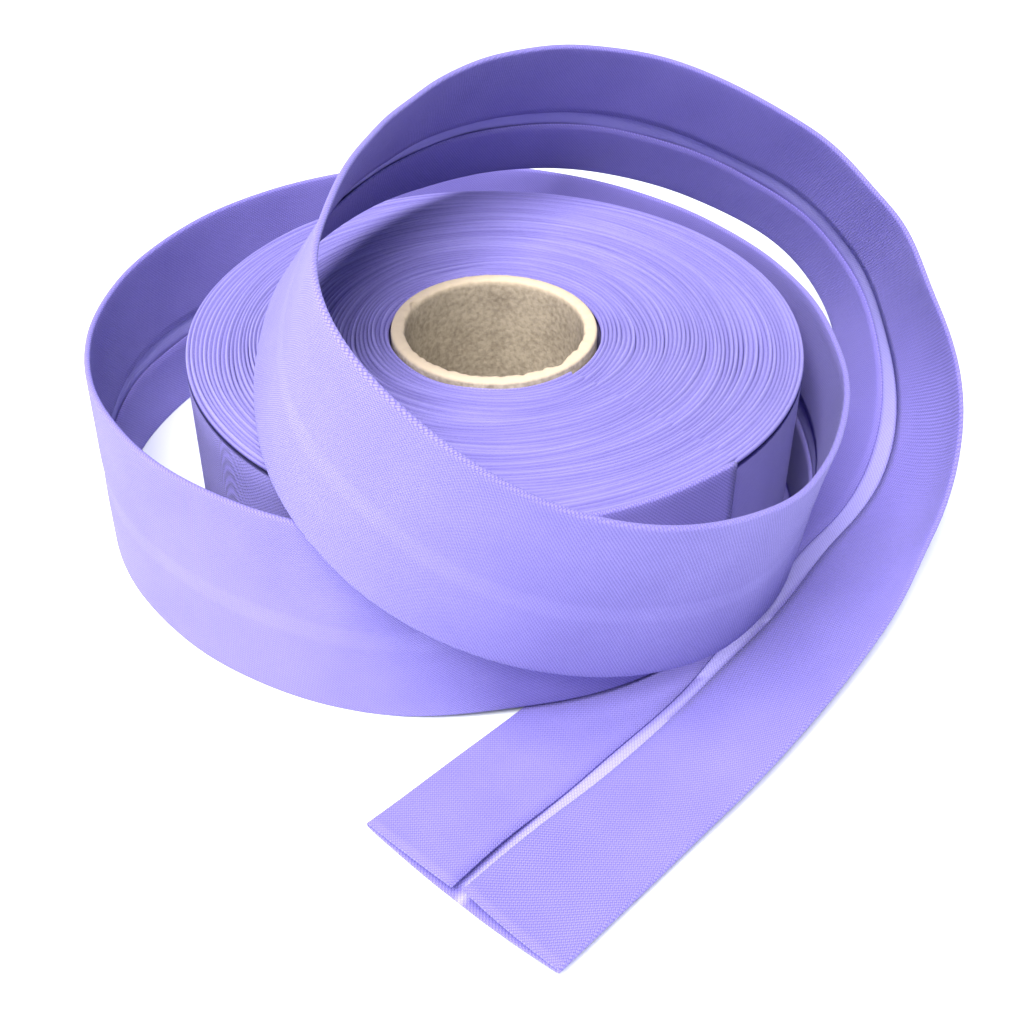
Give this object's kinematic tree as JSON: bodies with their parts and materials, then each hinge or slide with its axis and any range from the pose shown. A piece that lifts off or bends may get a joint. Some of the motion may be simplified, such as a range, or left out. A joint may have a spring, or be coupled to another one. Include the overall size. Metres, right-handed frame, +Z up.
{
  "type": "roll of folded bias binding",
  "caption": "Roll of wide double-folded bias binding on a cardboard core, with a loose loop round it and a flat free end.",
  "frame": {"origin": "on the table, under the middle of the box round the whole object; the roll's axis stands 4.5 mm to -X and 14.7 mm to +Y of it", "axes": "+Z up along the roll's axis, the free end of the tape lies toward -Y"},
  "size_m": [0.1254, 0.1378, 0.0633],
  "materials": {
    "cardboard": "plain grey-brown cardboard tube with a cream rim",
    "wound_poplin": "plain lavender polycotton poplin, edge on",
    "loose_poplin": "plain lavender polycotton poplin, cut on the bias"
  },
  "bodies": {
    "root": {"core": "cardboard", "wound_roll": "wound_poplin", "loose_tape": "loose_poplin"}
  },
  "joints": []
}
